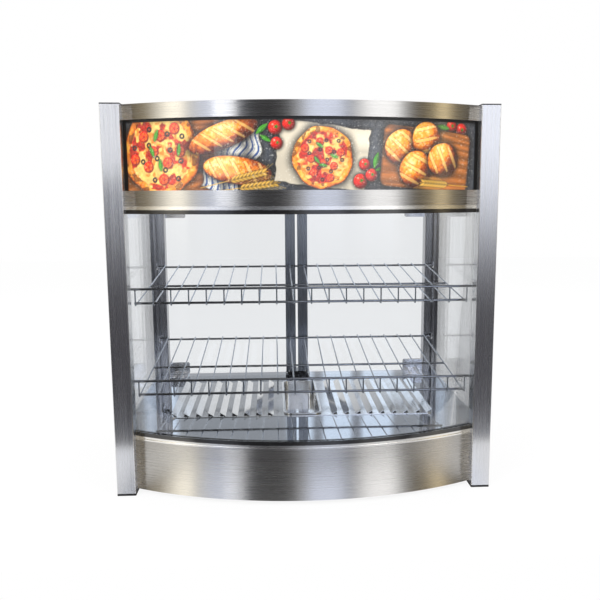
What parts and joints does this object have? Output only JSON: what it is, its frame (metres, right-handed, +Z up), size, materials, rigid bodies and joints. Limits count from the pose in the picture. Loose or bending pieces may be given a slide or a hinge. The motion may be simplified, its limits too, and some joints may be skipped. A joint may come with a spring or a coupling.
{
  "type": "pizza warmer",
  "caption": "Countertop pizza warmer with a bowed glass front, lit header, sloping wire shelves, louvred heated floor with water pan, and hinged rear glass doors.",
  "frame": {"origin": "middle of the footprint at the level of the feet", "axes": "+X across the front to the right, +Y from the bowed front to the rear doors, +Z up"},
  "size_m": [0.678, 0.5679, 0.686],
  "materials": {
    "brushed_steel": "brushed stainless",
    "polished_steel": "polished stainless",
    "mirror_steel": "mirror-polished stainless",
    "chrome_wire": "bright plated wire",
    "clear_glass": "clear tempered glass",
    "black_rubber": "glossy black seal",
    "black_plastic": "moulded black plastic",
    "printed_panel": null,
    "white_plastic": "white moulding",
    "lamp_glass": "frosted tube",
    "pilot_amber": "amber lens",
    "heater_sheath": "oxidised sheath",
    "plated_steel": "zinc-plated sheet",
    "lead_cover": "silicone-covered lead"
  },
  "bodies": {
    "cabinet": {"base_fascia": "brushed_steel", "base_rear_panel": "brushed_steel", "bottom_plate": "plated_steel", "door_catch": "black_plastic", "element_brackets": "plated_steel", "feet": "black_plastic", "floor_plate": "mirror_steel", "front_glass": "clear_glass", "front_left_post": "brushed_steel", "front_right_post": "brushed_steel", "header_ceiling": "brushed_steel", "header_lower_band": "brushed_steel", "header_rear_panel": "brushed_steel", "header_top_band": "brushed_steel", "heating_elements": "heater_sheath", "hinge_plates": "polished_steel", "lamp_holders": "white_plastic", "lamp_tube": "lamp_glass", "lamp_window": "clear_glass", "louvred_plate": "mirror_steel", "lower_glass_rail": "polished_steel", "lower_glass_seal": "black_rubber", "picture_diffuser": "white_plastic", "picture_gasket": "black_rubber", "picture_panel": "printed_panel", "pilot_lamp": "pilot_amber", "post_caps": "black_plastic", "power_inlet": "black_plastic", "rear_left_post": "brushed_steel", "rear_right_post": "brushed_steel", "roof_panel": "brushed_steel", "screws": "polished_steel", "shelf_clips": "chrome_wire", "side_glasses": "clear_glass", "side_panels": "brushed_steel", "switch_housings": "black_plastic", "terminal_block": "white_plastic", "thermostat_body": "black_plastic", "thermostat_bulb": "plated_steel", "upper_glass_rail": "polished_steel", "upper_glass_seal": "black_rubber", "wiring": "lead_cover"},
    "left_door": {"left_door_clamps": "polished_steel", "left_door_gasket": "black_rubber", "left_door_glass": "clear_glass", "left_door_handle": "polished_steel", "left_door_stile": "brushed_steel"},
    "right_door": {"right_door_clamps": "polished_steel", "right_door_gasket": "black_rubber", "right_door_glass": "clear_glass", "right_door_handle": "polished_steel", "right_door_stile": "brushed_steel"},
    "upper_shelf": {"upper_shelf_rods": "chrome_wire", "upper_shelf_wires": "chrome_wire"},
    "lower_shelf": {"lower_shelf_rods": "chrome_wire", "lower_shelf_wires": "chrome_wire"},
    "pan": {"water_pan": "polished_steel"},
    "knob": {"thermostat_knob": "black_plastic"},
    "power_button": {"power_rocker": "black_plastic"},
    "lamp_button": {"lamp_rocker": "black_plastic"}
  },
  "joints": [
    {"name": "left_door_hinge", "type": "hinge", "parent": "cabinet", "child": "left_door", "pos_m": [-0.292, 0.256, 0.31], "axis": [0, 0, 1], "range_deg": [0, 100]},
    {"name": "right_door_hinge", "type": "hinge", "parent": "cabinet", "child": "right_door", "pos_m": [0.292, 0.256, 0.31], "axis": [0, 0, -1], "range_deg": [0, 100]},
    {"name": "upper_shelf_lift", "type": "slide", "parent": "cabinet", "child": "upper_shelf", "axis": [0, 0, 1], "range_m": [0, 0.03]},
    {"name": "lower_shelf_lift", "type": "slide", "parent": "cabinet", "child": "lower_shelf", "axis": [0, 0, 1], "range_m": [0, 0.03]},
    {"name": "water_pan_lift", "type": "slide", "parent": "cabinet", "child": "pan", "axis": [0, 0, 1], "range_m": [0, 0.045]},
    {"name": "thermostat_turn", "type": "hinge", "parent": "cabinet", "child": "knob", "pos_m": [-0.15, 0.27, 0.061], "axis": [0, -1, 0], "range_deg": [0, 270]},
    {"name": "power_rocker_tilt", "type": "hinge", "parent": "cabinet", "child": "power_button", "pos_m": [-0.05, 0.26845, 0.061], "axis": [1, 0, 0], "range_deg": [0, 20]},
    {"name": "lamp_rocker_tilt", "type": "hinge", "parent": "cabinet", "child": "lamp_button", "pos_m": [0, 0.26845, 0.061], "axis": [1, 0, 0], "range_deg": [0, 20]}
  ]
}
